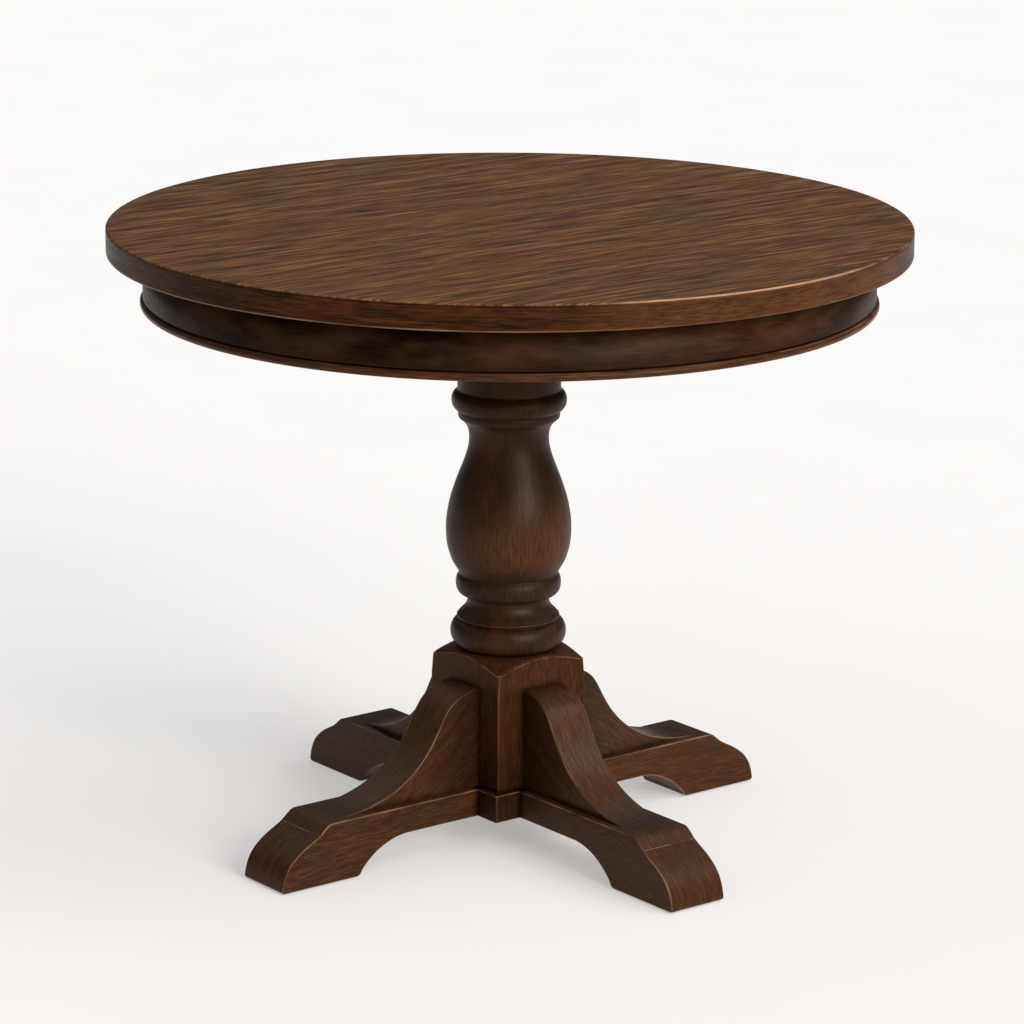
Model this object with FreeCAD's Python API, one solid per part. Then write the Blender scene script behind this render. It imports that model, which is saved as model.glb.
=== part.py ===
import FreeCAD, Part
import os
import math
from FreeCAD import Vector as V

os.makedirs("parts", exist_ok=True)

# Round dining table on a turned pedestal with four scrolled feet.
# Millimetres, +Z up.  Origin: centre of the footprint, on the floor.
# Foot 1 points along +X, foot 2 along +Y, foot 3 along -X, foot 4 along -Y.

# ---------------------------------------------------------------- overall
TABLE_H = 760.0          # floor to top face
TOP_R = 480.0            # outside radius of the round top
TOP_T = 32.0             # total thickness of the top
VENEER_T = 2.0           # thick face veneer that covers core and lipping
LIPPING_W = 12.0         # width of the solid edge lipping
TOP_ARRIS = 1.4          # softened upper arris
LOW_ARRIS = 2.5          # softened lower arris

# ---------------------------------------------------------------- apron
APRON_R = 437.5          # outside radius of the bent hoop
APRON_T = 18.0           # hoop thickness
APRON_BOT = 673.0        # underside of the hoop, top of the bead
QUIRK = 1.6              # small bevel that leaves a dark line over the bead
BEAD_R = 441.0           # outside radius of the bead ring
BEAD_IN = 422.0          # inside radius of the bead ring
BEAD_BOT = 664.0         # underside of the bead ring
BLOCKS = 8               # glue blocks behind the hoop
BLOCK_LEN = 60.0
BLOCK_W = 35.0
BLOCK_H = 38.0

# ---------------------------------------------------------------- cleats
CLEAT_HALF_L = 350.0
CLEAT_W = 70.0
CLEAT_H = 40.0
CLEAT_BEVEL_AT = 250.0   # underside slopes up from here to the end
CLEAT_END_H = 22.0

# ---------------------------------------------------------------- column
POMMEL_Z = 238.0         # seat of the column on the post block
TENON_R = 25.0
TENON_L = 40.0
# (radius, height) stations of the turning, bottom to top
BASE_TORUS = [(57.0, 238.0), (62.4, 239.6), (66.6, 243.2), (69.4, 248.4), (70.5, 255.6),
              (69.6, 262.0), (67.2, 266.8), (63.8, 270.2), (60.4, 272.0)]
CORDON = [(60.6, 272.6), (62.1, 273.4), (62.6, 275.0), (62.0, 276.4), (61.0, 277.2)]
SCOTIA = [(61.0, 277.2), (59.6, 279.0), (57.0, 281.6), (54.3, 284.4), (52.0, 287.6),
          (50.3, 291.6), (49.6, 296.0), (49.6, 300.6)]
LOW_RING = [(55.0, 301.8), (59.6, 304.2), (62.6, 308.4), (63.9, 314.0), (63.9, 319.0),
            (62.9, 323.4), (60.4, 327.6)]
VASE = [(60.0, 329.4), (64.6, 337.4), (68.0, 343.2), (71.4, 351.8), (74.0, 361.2), (75.5, 370.7),
        (76.1, 382.0), (75.7, 395.0), (74.4, 404.8), (71.6, 419.2), (67.3, 433.8), (62.0, 448.9),
        (56.2, 463.8), (51.6, 477.0), (49.0, 487.8), (48.2, 497.2), (48.9, 505.0), (50.4, 510.4),
        (53.0, 514.8), (56.6, 518.6), (60.2, 521.4)]
UP_FILLET = [(61.4, 523.2), (61.6, 527.0), (61.0, 530.4)]
UP_TORUS = [(64.8, 532.4), (67.8, 536.0), (69.3, 540.4), (69.6, 544.6), (68.9, 548.8),
            (67.0, 552.4), (64.2, 555.2)]
NECK_R = 62.5
NECK_Z = 556.4

# ---------------------------------------------------------------- post and plinth
POST_Q = 67.0            # half of the square post
POMMEL_SLOPE = math.radians(24.5)
CHAMFER_LEG = 5.0        # corner chamfer at the top, running out to nothing
CHAMFER_FROM = 184.0
CHAMFER_TO = 230.0
PLINTH_Q = 76.5
BAR_TOP = 75.5
BAR_BOT = 41.5

# ---------------------------------------------------------------- feet
BAR_HALF_W = 40.0
TOE_R = 365.0
SOLE_Z = 1.5             # wood clears the floor by the glides' height
HEEL_R = 253.0
ARCH_FROM = 184.0
SHOULDER_R = 293.0
BAR_TENON_L = 35.0
BAR_TENON_T = 20.0
BRACKET_HALF_W = 29.0
BRACKET = [(67.0, 199.0), (76.5, 198.0), (87.0, 195.6), (97.0, 191.8), (106.3, 186.0), (113.7, 178.4),
           (119.8, 169.2), (125.4, 159.0), (132.0, 147.8), (141.5, 134.0), (157.0, 117.0), (176.0, 102.2),
           (200.0, 89.8), (226.0, 81.6), (248.0, 77.6), (262.0, 76.4)]

# ---------------------------------------------------------------- hardware
ROD_R = 6.0
ROD_HOLE = 6.5
ROD_BOT = 24.0
ROD_TOP = 726.0
PLATE_T = 3.0
PLATE_W = 34.0
PLATE_HALF = 150.0
GLIDE_R = 12.0
GLIDE_T = 4.5

UNDER = TABLE_H - TOP_T  # underside of the top
Z = V(0, 0, 1)
O = V(0, 0, 0)


def cyl(r, h, x=0.0, y=0.0, z=0.0, d=None):
    return Part.makeCylinder(r, h, V(x, y, z), d or Z)


def box(x0, x1, y0, y1, z0, z1):
    return Part.makeBox(x1 - x0, y1 - y0, z1 - z0, V(x0, y0, z0))


def turned(shape, deg):
    s = shape.copy()
    s.rotate(O, Z, deg)
    return s


def spline(pts):
    c = Part.BSplineCurve()
    c.interpolate(pts)
    return c.toShape()


def seg(a, b):
    return Part.LineSegment(a, b).toShape()


def arc(a, m, b):
    return Part.Arc(a, m, b).toShape()


def rz(pts):
    return [V(r, 0, z) for r, z in pts]


def prism(edges, half_w):
    face = Part.Face(Part.Wire(edges))
    face.translate(V(0, -half_w, 0))
    return face.extrude(V(0, 2 * half_w, 0))


def poly_prism(pts, half_w):
    p = rz(pts)
    return prism([seg(p[i], p[(i + 1) % len(p)]) for i in range(len(p))], half_w)


def revolved(edges):
    return Part.Face(Part.Wire(edges)).revolve(O, Z, 360)


def solid_of(shape):
    s = shape.removeSplitter()
    if s.ShapeType == "Solid":
        return s
    if len(s.Solids) == 1:
        return s.Solids[0]
    return s


def group(shapes):
    return Part.makeCompound(shapes)


def ring(r_in, r_out, z0, z1):
    return cyl(r_out, z1 - z0, z=z0).cut(cyl(r_in, z1 - z0 + 2, z=z0 - 1))


# ================================================================ fasteners
def wood_screw_up(x, y, z, length, shank=2.2, head=4.6):
    """Countersunk screw driven upwards; its head is flush at height z."""
    cone = Part.makeCone(head, shank, 3.2, V(x, y, z), Z)
    body = cyl(shank, length - 8.0, x, y, z + 3.0)
    tip = Part.makeCone(shank, 0.4, 5.0, V(x, y, z + length - 5.0), Z)
    return solid_of(cone.fuse([body, tip]))


def pan_screw_up(x, y, z, length, shank=2.4, head=5.0, head_h=2.6):
    """Pan-head screw driven upwards; the underside of its head is at height z."""
    h = cyl(head, head_h, x, y, z - head_h)
    h = h.makeFillet(1.2, [e for e in h.Edges if abs(e.BoundBox.ZMax - (z - head_h)) < 1e-6
                           and e.BoundBox.XLength > head])
    h = h.cut(box(x - 0.6, x + 0.6, y - 3.2, y + 3.2, z - head_h - 0.1, z - head_h + 1.1))
    h = h.cut(box(x - 3.2, x + 3.2, y - 0.6, y + 0.6, z - head_h - 0.1, z - head_h + 1.1))
    body = cyl(shank, length - 6.0, x, y, z)
    tip = Part.makeCone(shank, 0.4, 6.0, V(x, y, z + length - 6.0), Z)
    return solid_of(h.fuse([body, tip]))


def hex_nut(z0, h, across, hole):
    r = across / math.sqrt(3)
    pts = [V(r * math.cos(math.radians(60 * i)), r * math.sin(math.radians(60 * i)), z0) for i in range(7)]
    nut = Part.Face(Part.makePolygon(pts)).extrude(V(0, 0, h))
    # softened corners top and bottom
    cone_lo = Part.makeCone(across / 2 + 0.2, across / 2 + 0.2 + h, h, V(0, 0, z0), Z)
    cone_hi = Part.makeCone(across / 2 + 0.2 + h, across / 2 + 0.2, h, V(0, 0, z0), Z)
    nut = nut.common(cone_lo).common(cone_hi)
    return nut.cut(cyl(hole, h + 2, z=z0 - 1))


cleat_screws = []
for k in range(4):
    for r in (112.0, 228.0):
        a = math.radians(90 * k)
        cleat_screws.append(wood_screw_up(r * math.cos(a), r * math.sin(a), UNDER - CLEAT_H, 58.0))

block_angles = [22.5 + 360.0 / BLOCKS * k for k in range(BLOCKS)]
block_screws = []
for deg in block_angles:
    a = math.radians(deg)
    block_screws.append(wood_screw_up(411.5 * math.cos(a), 411.5 * math.sin(a), UNDER - BLOCK_H, 56.0,
                                      shank=1.9, head=3.9))

plate_screws = []
for k in range(4):
    for r in (100.0, 136.0):
        a = math.radians(90 * k)
        plate_screws.append(pan_screw_up(r * math.cos(a), r * math.sin(a), BAR_BOT - PLATE_T, 22.0))

dowel_h = []   # bracket to post
dowel_v = []   # bracket to foot bar
for k in range(4):
    for z in (112.0, 162.0):
        d = cyl(5.0, 50.0, 40.5, 0, z, V(1, 0, 0))
        dowel_h.append(turned(d, 90 * k))
    for r in (118.0, 168.0):
        d = cyl(4.0, 32.0, r, 0, BAR_TOP - 16.0)
        dowel_v.append(turned(d, 90 * k))
column_dowels = []
for k in range(4):
    a = math.radians(90 * k)
    column_dowels.append(cyl(5.0, 38.0, 46 * math.cos(a), 46 * math.sin(a), UNDER - CLEAT_H - 20.0))

# ================================================================ the top
core = cyl(TOP_R - LIPPING_W, TOP_T - VENEER_T, z=UNDER)
core = core.cut(group(cleat_screws + block_screws))
lip = ring(TOP_R - LIPPING_W, TOP_R, UNDER, TABLE_H - VENEER_T)
lip = lip.makeFillet(LOW_ARRIS, [e for e in lip.Edges if len(e.Vertexes) == 1
                                 and abs(e.BoundBox.ZMax - UNDER) < 1e-6
                                 and e.BoundBox.XMax > TOP_R - 1])
veneer = cyl(TOP_R, VENEER_T, z=TABLE_H - VENEER_T)
veneer = veneer.makeFillet(TOP_ARRIS, [e for e in veneer.Edges if len(e.Vertexes) == 1
                                       and abs(e.BoundBox.ZMin - TABLE_H) < 1e-6])

# ================================================================ the apron
ri = APRON_R - APRON_T
apron = revolved([seg(V(ri, 0, APRON_BOT), V(APRON_R - QUIRK, 0, APRON_BOT)),
                  seg(V(APRON_R - QUIRK, 0, APRON_BOT), V(APRON_R - QUIRK, 0, APRON_BOT + 1.0)),
                  seg(V(APRON_R - QUIRK, 0, APRON_BOT + 1.0), V(APRON_R, 0, APRON_BOT + 1.0 + QUIRK)),
                  seg(V(APRON_R, 0, APRON_BOT + 1.0 + QUIRK), V(APRON_R, 0, UNDER)),
                  seg(V(APRON_R, 0, UNDER), V(ri, 0, UNDER)),
                  seg(V(ri, 0, UNDER), V(ri, 0, APRON_BOT))])
zm = (BEAD_BOT + APRON_BOT) / 2
bead = revolved([seg(V(BEAD_IN, 0, BEAD_BOT), V(BEAD_R - 3.0, 0, BEAD_BOT)),
                 arc(V(BEAD_R - 3.0, 0, BEAD_BOT), V(BEAD_R, 0, zm), V(BEAD_R - 3.0, 0, APRON_BOT)),
                 seg(V(BEAD_R - 3.0, 0, APRON_BOT), V(BEAD_IN, 0, APRON_BOT)),
                 seg(V(BEAD_IN, 0, APRON_BOT), V(BEAD_IN, 0, BEAD_BOT))])

blocks = []
for deg in block_angles:
    x1 = ri + 1.0
    x0 = ri - BLOCK_W
    z0 = UNDER - BLOCK_H
    b = poly_prism([(x0, UNDER), (x0, UNDER - 12.0), (x0 + 19.0, z0), (x1, z0), (x1, UNDER)], BLOCK_LEN / 2)
    b = b.common(cyl(ri, BLOCK_H + 2, z=z0 - 1))
    b = turned(b, deg)
    blocks.append(b)
cut_screws = group(block_screws)
blocks = [solid_of(b.cut(cut_screws)) for b in blocks]

# ================================================================ cleats
zc = UNDER - CLEAT_H
cleat_profile = [(-CLEAT_HALF_L, UNDER), (-CLEAT_HALF_L, UNDER - CLEAT_END_H), (-CLEAT_BEVEL_AT, zc),
                 (CLEAT_BEVEL_AT, zc), (CLEAT_HALF_L, UNDER - CLEAT_END_H), (CLEAT_HALF_L, UNDER)]
cleat = poly_prism(cleat_profile, CLEAT_W / 2)
h = CLEAT_W / 2
zl = UNDER - CLEAT_H / 2
hardware_hole = cyl(ROD_HOLE, 200, z=600)
cleat_a = cleat.cut(box(-h, h, -h - 1, h + 1, zl, UNDER + 1))
cleat_b = turned(cleat, 90).cut(box(-h - 1, h + 1, -h, h, zc - 1, zl))
nut_pocket = cyl(17.0, 20, z=UNDER - 16.0)
cut_all = group(cleat_screws + column_dowels)
cleat_a = solid_of(cleat_a.cut(hardware_hole).cut(cut_all))
cleat_b = solid_of(cleat_b.cut(hardware_hole).cut(nut_pocket).cut(cut_all))

# ================================================================ column
def chain(*runs):
    edges = []
    last = None
    for kind, pts in runs:
        p = rz(pts)
        if last is not None and (last - p[0]).Length > 1e-6:
            edges.append(seg(last, p[0]))
        if kind == "s":
            edges.append(spline(p))
        else:
            for i in range(len(p) - 1):
                edges.append(seg(p[i], p[i + 1]))
        last = p[-1]
    return edges


z_top = UNDER - CLEAT_H
column = revolved(chain(
    ("l", [(ROD_HOLE, POMMEL_Z - TENON_L), (TENON_R - 1.5, POMMEL_Z - TENON_L),
           (TENON_R, POMMEL_Z - TENON_L + 1.5), (TENON_R, POMMEL_Z)]),
    ("s", BASE_TORUS), ("s", CORDON), ("s", SCOTIA), ("s", LOW_RING), ("s", VASE), ("s", UP_FILLET), ("s", UP_TORUS),
    ("l", [(NECK_R, NECK_Z), (NECK_R, z_top - 1.5), (NECK_R - 1.5, z_top), (ROD_HOLE, z_top),
           (ROD_HOLE, POMMEL_Z - TENON_L)])))
column = solid_of(column.cut(group(column_dowels)))

# ================================================================ post block and plinth
post = box(-POST_Q, POST_Q, -POST_Q, POST_Q, BAR_TOP, POMMEL_Z)
r0 = 58.0
r1 = 120.0
drop = (r1 - r0) * math.tan(POMMEL_SLOPE)
pommel = revolved([seg(V(0, 0, BAR_TOP - 5), V(r1, 0, BAR_TOP - 5)),
                   seg(V(r1, 0, BAR_TOP - 5), V(r1, 0, POMMEL_Z - drop)),
                   seg(V(r1, 0, POMMEL_Z - drop), V(r0 + 4, 0, POMMEL_Z - 4 * math.tan(POMMEL_SLOPE))),
                   arc(V(r0 + 4, 0, POMMEL_Z - 4 * math.tan(POMMEL_SLOPE)), V(r0, 0, POMMEL_Z - 0.5),
                       V(r0 - 4, 0, POMMEL_Z)),
                   seg(V(r0 - 4, 0, POMMEL_Z), V(0, 0, POMMEL_Z)),
                   seg(V(0, 0, POMMEL_Z), V(0, 0, BAR_TOP - 5))])
post = post.common(pommel)
d0 = POST_Q * math.sqrt(2)
run = CHAMFER_LEG / math.sqrt(2) / (CHAMFER_TO - CHAMFER_FROM)
top = POMMEL_Z + 5
wedge = poly_prism([(d0, CHAMFER_FROM), (d0 - run * (top - CHAMFER_FROM), top), (d0 + 20, top),
                    (d0 + 20, CHAMFER_FROM)], 30.0)
for k in range(4):
    post = post.cut(turned(wedge, 45 + 90 * k))
socket = cyl(TENON_R, TENON_L + 1, z=POMMEL_Z - TENON_L)
post = post.cut(socket).cut(cyl(ROD_HOLE, 300, z=BAR_TOP - 10)).cut(group(dowel_h))
post = solid_of(post)

plinth = box(-PLINTH_Q, PLINTH_Q, -PLINTH_Q, PLINTH_Q, BAR_BOT, BAR_TOP)
vertical = [e for e in plinth.Edges if e.BoundBox.ZLength > 1]
plinth = plinth.makeFillet(1.5, vertical)
mid = (BAR_TOP + BAR_BOT) / 2
tenon = box(PLINTH_Q - BAR_TENON_L, PLINTH_Q + 1, -BAR_TENON_T / 2, BAR_TENON_T / 2, mid - 11, mid + 11)
for k in range(4):
    plinth = plinth.cut(turned(tenon, 90 * k))
plinth = solid_of(plinth.cut(cyl(ROD_HOLE, 80, z=20)))

# ================================================================ feet
# Side outline of a foot bar, from the plinth outwards: level underside, hollow
# arch, flat sole, rounded toe, short cove and shoulder, level top.
AR = (HEEL_R - ARCH_FROM)
p0 = V(PLINTH_Q, 0, BAR_BOT)
p1 = V(ARCH_FROM, 0, BAR_BOT)
p2 = V(227.0, 0, 27.4)
p3 = V(HEEL_R - 4.0, 0, SOLE_Z + 6.5)
p4 = V(HEEL_R - 1.0, 0, SOLE_Z + 2.0)
p5 = V(HEEL_R + 4.0, 0, SOLE_Z)
p6 = V(TOE_R - 4.5, 0, SOLE_Z)
p7 = V(TOE_R - 1.2, 0, SOLE_Z + 1.2)
p8 = V(TOE_R, 0, SOLE_Z + 4.5)
toe = rz([(TOE_R, SOLE_Z + 4.5), (TOE_R - 1.6, 14.0), (TOE_R - 5.6, 25.5), (TOE_R - 13.0, 36.5),
          (TOE_R - 22.5, 45.0), (TOE_R - 35.0, 53.0), (TOE_R - 47.0, 59.3), (TOE_R - 54.0, 63.3)])
cove = rz([(TOE_R - 54.0, 63.3), (TOE_R - 60.0, 68.3), (TOE_R - 65.5, 72.8), (SHOULDER_R, BAR_TOP)])
p9 = V(PLINTH_Q, 0, BAR_TOP)
bar_edges = [seg(p0, p1), arc(p1, p2, p3), seg(p3, p4), arc(p4, V(HEEL_R + 0.8, 0, SOLE_Z + 0.6), p5),
             seg(p5, p6), arc(p6, p7, p8), spline(toe), spline(cove), seg(cove[-1], p9), seg(p9, p0)]
bar = prism(bar_edges, BAR_HALF_W)
bar = bar.fuse(box(PLINTH_Q - BAR_TENON_L, PLINTH_Q, -BAR_TENON_T / 2, BAR_TENON_T / 2, mid - 11, mid + 11))
bar = solid_of(bar)

glide_at = [(HEEL_R + 22.0, 0.0), (TOE_R - 26.0, 0.0)]


def glide(x, y):
    g = cyl(GLIDE_R, GLIDE_T, x, y, 0.0)
    return g.makeFillet(1.0, [e for e in g.Edges if len(e.Vertexes) == 1 and e.BoundBox.ZMax < 1e-6])


pockets = group([cyl(GLIDE_R + 0.3, GLIDE_T - SOLE_Z + 1.0, x, y, SOLE_Z - 1.0) for x, y in glide_at])
bar = bar.cut(pockets)
glides = []
pins = []
bars = []
brackets = []
for k in range(4):
    for x, y in glide_at:
        g = glide(x, y)
        pin = cyl(1.4, 15.0, x, y, GLIDE_T - 2.0)
        pin = pin.fuse(Part.makeCone(1.4, 0.2, 3.0, V(x, y, GLIDE_T + 13.0), Z))
        pin = solid_of(pin)
        pins.append(turned(pin, 90 * k))
        glides.append(turned(g.cut(pin), 90 * k))
cut_bar = group(dowel_v + plate_screws + pins)
for k in range(4):
    bars.append(solid_of(turned(bar, 90 * k).cut(cut_bar)))

bp = rz(BRACKET)
b_end = V(BRACKET[-1][0], 0, BAR_TOP)
b_in = V(POST_Q, 0, BAR_TOP)
bracket = prism([spline(bp), seg(bp[-1], b_end), seg(b_end, b_in), seg(b_in, bp[0])], BRACKET_HALF_W)
cut_bracket = group(dowel_h + dowel_v)
for k in range(4):
    brackets.append(solid_of(turned(bracket, 90 * k).cut(cut_bracket)))

# ================================================================ tie rod and plate
rod = cyl(ROD_R, ROD_TOP - ROD_BOT, z=ROD_BOT)
rod = rod.makeChamfer(1.2, [e for e in rod.Edges if len(e.Vertexes) == 1])
pz = BAR_BOT - PLATE_T
plate = box(-PLATE_HALF, PLATE_HALF, -PLATE_W / 2, PLATE_W / 2, pz, BAR_BOT)
plate = plate.fuse(box(-PLATE_W / 2, PLATE_W / 2, -PLATE_HALF, PLATE_HALF, pz, BAR_BOT))
plate = solid_of(plate)
outer = [e for e in plate.Edges if e.BoundBox.ZLength > 1
         and max(abs(e.BoundBox.XMax), abs(e.BoundBox.YMax), abs(e.BoundBox.XMin), abs(e.BoundBox.YMin))
         > PLATE_HALF - 1]
plate = plate.makeFillet(8.0, outer)
plate = solid_of(plate.cut(cyl(ROD_HOLE, 20, z=pz - 5)).cut(group(plate_screws)))
w_lo = ring(ROD_HOLE, 15.0, pz - 2.5, pz)
n_lo = hex_nut(pz - 2.5 - 10.0, 10.0, 19.0, ROD_R)
seat = UNDER - 16.0
w_hi = ring(ROD_HOLE, 15.0, seat, seat + 2.5)
n_hi = hex_nut(seat + 2.5, 10.0, 19.0, ROD_R)

# ================================================================ write
nodes = {
    "top_core_panel": core,
    "top_face_veneer": veneer,
    "edge_lipping": lip,
    "apron_hoop": apron,
    "apron_bead": bead,
    "apron_glue_blocks": group(blocks),
    "glue_block_screws": group(block_screws),
    "top_cleat_lower": cleat_a,
    "top_cleat_upper": cleat_b,
    "cleat_screws": group(cleat_screws),
    "column": column,
    "column_dowels": group(column_dowels),
    "post_block": post,
    "plinth_block": plinth,
    "bracket_post_dowels": group(dowel_h),
    "bracket_foot_dowels": group(dowel_v),
    "tie_rod": rod,
    "tie_rod_nuts": group([n_lo, n_hi]),
    "tie_rod_washers": group([w_lo, w_hi]),
    "spider_plate": plate,
    "spider_plate_screws": group(plate_screws),
    "floor_glides": group(glides),
    "glide_pins": group(pins),
}
for k in range(4):
    nodes["foot_bar_%d" % (k + 1)] = bars[k]
    nodes["scroll_bracket_%d" % (k + 1)] = brackets[k]

for name, shape in nodes.items():
    solids = shape.Solids
    ok = shape.isValid() and all(s.isValid() and s.Volume > 0 for s in solids)
    print("%-22s solids %2d  volume %12.1f  valid %s" % (name, len(solids), shape.Volume, ok))
    out = solids[0] if len(solids) == 1 else Part.makeCompound(solids)
    out.exportStep("parts/%s.step" % name)
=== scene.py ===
import math

import bpy
import numpy as np
from mathutils import Matrix, Vector


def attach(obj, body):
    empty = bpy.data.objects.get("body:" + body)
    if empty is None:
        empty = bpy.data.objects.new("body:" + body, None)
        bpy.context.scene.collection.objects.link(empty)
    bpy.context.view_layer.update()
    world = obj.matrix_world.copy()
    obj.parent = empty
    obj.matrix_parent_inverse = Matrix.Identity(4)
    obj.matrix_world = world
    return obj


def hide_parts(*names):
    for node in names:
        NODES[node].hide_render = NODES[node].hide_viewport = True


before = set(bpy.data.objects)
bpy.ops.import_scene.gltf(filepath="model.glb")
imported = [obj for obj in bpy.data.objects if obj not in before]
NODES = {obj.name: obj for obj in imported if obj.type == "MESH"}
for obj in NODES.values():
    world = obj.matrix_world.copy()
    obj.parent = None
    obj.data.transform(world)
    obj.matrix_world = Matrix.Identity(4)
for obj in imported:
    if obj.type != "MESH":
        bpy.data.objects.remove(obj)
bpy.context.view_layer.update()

scene = bpy.context.scene
scene.view_settings.view_transform = "Standard"
scene.view_settings.look = "None"
MM = 0.001

# ------------------------------------------------------------------ sizes (mm)
H = 760.0
TOP_R = 480.0
UNDER = 728.0
VENEER = 2.0
LIP_W = 12.0
APRON_R, APRON_IN, APRON_BOT = 437.5, 419.5, 673.0
BEAD_R, BEAD_IN, BEAD_BOT = 441.0, 422.0, 664.0
POMMEL_Z, POST_Q, PLINTH_Q = 238.0, 67.0, 76.5
BAR_TOP, BAR_BOT, BAR_HW, BR_HW = 75.5, 41.5, 40.0, 29.0
TOE_R, SOLE, HEEL_R, ARCH_FROM, SHOULDER_R = 365.0, 1.5, 253.0, 184.0, 293.0
SLOPE = math.tan(math.radians(24.5))

BASE_TORUS = [(57.0, 238.0), (62.4, 239.6), (66.6, 243.2), (69.4, 248.4), (70.5, 255.6),
              (69.6, 262.0), (67.2, 266.8), (63.8, 270.2), (60.4, 272.0)]
CORDON = [(60.6, 272.6), (62.1, 273.4), (62.6, 275.0), (62.0, 276.4), (61.0, 277.2)]
SCOTIA = [(61.0, 277.2), (59.6, 279.0), (57.0, 281.6), (54.3, 284.4), (52.0, 287.6),
          (50.3, 291.6), (49.6, 296.0), (49.6, 300.6)]
LOW_RING = [(55.0, 301.8), (59.6, 304.2), (62.6, 308.4), (63.9, 314.0), (63.9, 319.0),
            (62.9, 323.4), (60.4, 327.6)]
VASE = [(60.0, 329.4), (64.6, 337.4), (68.0, 343.2), (71.4, 351.8), (74.0, 361.2), (75.5, 370.7),
        (76.1, 382.0), (75.7, 395.0), (74.4, 404.8), (71.6, 419.2), (67.3, 433.8), (62.0, 448.9),
        (56.2, 463.8), (51.6, 477.0), (49.0, 487.8), (48.2, 497.2), (48.9, 505.0), (50.4, 510.4),
        (53.0, 514.8), (56.6, 518.6), (60.2, 521.4)]
UP_FILLET = [(61.4, 523.2), (61.6, 527.0), (61.0, 530.4)]
UP_TORUS = [(64.8, 532.4), (67.8, 536.0), (69.3, 540.4), (69.6, 544.6), (68.9, 548.8),
            (67.0, 552.4), (64.2, 555.2)]
NECK_R, NECK_Z, COL_TOP = 62.5, 556.4, 688.0
BRACKET = [(67.0, 199.0), (76.5, 198.0), (87.0, 195.6), (97.0, 191.8), (106.3, 186.0), (113.7, 178.4),
           (119.8, 169.2), (125.4, 159.0), (132.0, 147.8), (141.5, 134.0), (157.0, 117.0), (176.0, 102.2),
           (200.0, 89.8), (226.0, 81.6), (248.0, 77.6), (262.0, 76.4)]


# ------------------------------------------------------------------ curves
def spline(pts, step=1.6):
    """Natural cubic spline by chord length through pts, sampled about every step."""
    p = np.array(pts, float)
    t = np.concatenate([[0], np.cumsum(np.linalg.norm(np.diff(p, axis=0), axis=1))])
    n = len(p)
    a = np.zeros((n, n))
    b = np.zeros((n, p.shape[1]))
    hs = np.diff(t)
    a[0, 0] = a[-1, -1] = 1
    for i in range(1, n - 1):
        a[i, i - 1], a[i, i], a[i, i + 1] = hs[i - 1], 2 * (hs[i - 1] + hs[i]), hs[i]
        b[i] = 6 * ((p[i + 1] - p[i]) / hs[i] - (p[i] - p[i - 1]) / hs[i - 1])
    m = np.linalg.solve(a, b)
    out = []
    count = max(2, int(round(t[-1] / step)) + 1)
    for s in np.linspace(0, t[-1], count):
        i = min(n - 2, int(np.searchsorted(t, s, side="right") - 1))
        h, u, v = hs[i], t[i + 1] - s, s - t[i]
        out.append(m[i] * u ** 3 / (6 * h) + m[i + 1] * v ** 3 / (6 * h)
                   + (p[i] / h - m[i] * h / 6) * u + (p[i + 1] / h - m[i + 1] * h / 6) * v)
    return [tuple(q) for q in out]


def rounded(pts, radii, n=6, closed=True, support=0.7):
    """Polyline whose corners get arcs of the given radii, with a support point beside each arc."""
    out = []
    count = len(pts)
    for i in range(count):
        r = radii[i]
        p = np.array(pts[i], float)
        if r <= 0 or (not closed and i in (0, count - 1)):
            out.append(tuple(p))
            continue
        a = np.array(pts[i - 1], float) - p
        b = np.array(pts[(i + 1) % count], float) - p
        la, lb = np.linalg.norm(a), np.linalg.norm(b)
        a, b = a / la, b / lb
        half = math.acos(max(-1, min(1, float(a @ b)))) / 2
        d = min(r / math.tan(half), 0.48 * la, 0.48 * lb)
        rr = d * math.tan(half)
        c = p + (a + b) / np.linalg.norm(a + b) * (rr / math.sin(half))
        s, e = p + a * d - c, p + b * d - c
        if support and la > d + support:
            out.append(tuple(p + a * (d + support)))
        ang = math.acos(max(-1, min(1, float(s @ e) / (rr * rr))))
        for k in range(n + 1):
            f = k / n
            v = (math.sin((1 - f) * ang) * s + math.sin(f * ang) * e) / math.sin(ang)
            out.append(tuple(c + v))
        if support and lb > d + support:
            out.append(tuple(p + b * (d + support)))
    return out


def arc3(a, m, b, n):
    ax, ay, bx, by, cx, cy = *a, *m, *b
    d = 2 * (ax * (by - cy) + bx * (cy - ay) + cx * (ay - by))
    ux = ((ax * ax + ay * ay) * (by - cy) + (bx * bx + by * by) * (cy - ay) + (cx * cx + cy * cy) * (ay - by)) / d
    uy = ((ax * ax + ay * ay) * (cx - bx) + (bx * bx + by * by) * (ax - cx) + (cx * cx + cy * cy) * (bx - ax)) / d
    r = math.hypot(ax - ux, ay - uy)
    t0, t1, t2 = (math.atan2(q[1] - uy, q[0] - ux) for q in (a, m, b))
    while t1 < t0:
        t1 += 2 * math.pi
    while t2 < t0:
        t2 += 2 * math.pi
    if t1 > t2:
        t2 -= 2 * math.pi
    return [(ux + r * math.cos(t0 + (t2 - t0) * k / n), uy + r * math.sin(t0 + (t2 - t0) * k / n))
            for k in range(n + 1)]


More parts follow.
